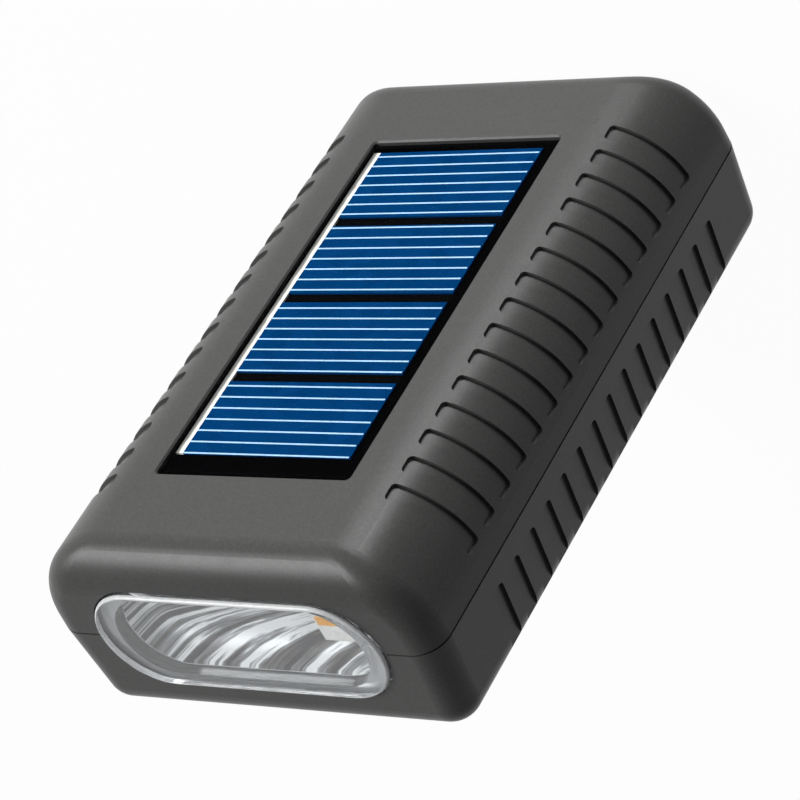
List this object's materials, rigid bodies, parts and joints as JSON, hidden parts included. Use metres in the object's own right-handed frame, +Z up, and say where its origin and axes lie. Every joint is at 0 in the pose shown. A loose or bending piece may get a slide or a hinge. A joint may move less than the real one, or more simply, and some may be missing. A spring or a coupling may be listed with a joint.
{
  "type": "solar wall light",
  "caption": "Ribbed plastic solar wall light with a recessed solar panel on its front, clear lamp windows with reflectors in its ends, and a keyhole hanger and power button on its back.",
  "frame": {"origin": "centre of the flat back face that lies on the wall", "axes": "+X across to the right seen from the front, +Y into the wall, +Z up along the length, so the solar panel faces -Y"},
  "size_m": [0.0634, 0.0293, 0.1012],
  "materials": {
    "housing_plastic": "fine-grained satin",
    "panel_black": "matt black laminate",
    "solar_cell": "anti-reflective blue",
    "tinned_ribbon": "tinned",
    "panel_resin": "clear resin",
    "lens_clear": "polished clear",
    "seal_rubber": "matt",
    "metallised_plastic": "vacuum metallised",
    "lamp_board_white": "white solder mask",
    "lamp_white": "satin",
    "phosphor_yellow": "silicone",
    "circuit_board": "green solder mask",
    "component_black": "matt",
    "ferrite": "matt",
    "plunger_white": "satin",
    "button_plastic": "satin",
    "battery_can_metal": "plated",
    "battery_sleeve_plastic": "shrink film",
    "plated_steel": "nickel plated"
  },
  "bodies": {
    "housing": {"front_shell": "housing_plastic", "rear_shell": "housing_plastic", "solar_board": "panel_black", "solar_cells": "solar_cell", "solar_ribbon": "tinned_ribbon", "solar_cover": "panel_resin", "upper_lens": "lens_clear", "lower_lens": "lens_clear", "upper_lens_seal": "seal_rubber", "lower_lens_seal": "seal_rubber", "upper_reflector": "metallised_plastic", "lower_reflector": "metallised_plastic", "upper_lamp_board": "lamp_board_white", "lower_lamp_board": "lamp_board_white", "upper_lamp": "lamp_white", "lower_lamp": "lamp_white", "upper_phosphor": "phosphor_yellow", "lower_phosphor": "phosphor_yellow", "control_board": "circuit_board", "controller_chip": "component_black", "coil": "ferrite", "switch_body": "component_black", "battery_can": "battery_can_metal", "battery_sleeve": "battery_sleeve_plastic", "plus_contact": "plated_steel", "minus_contact": "plated_steel", "board_screws": "plated_steel", "case_screws": "plated_steel"},
    "button": {"power_button": "button_plastic", "switch_plunger": "plunger_white"}
  },
  "joints": [
    {"name": "button_press", "type": "slide", "parent": "housing", "child": "button", "axis": [0, -1, 0], "range_m": [0, 0.0015], "stiffness_N_per_m": 1500, "springref_m": -0.0004}
  ]
}
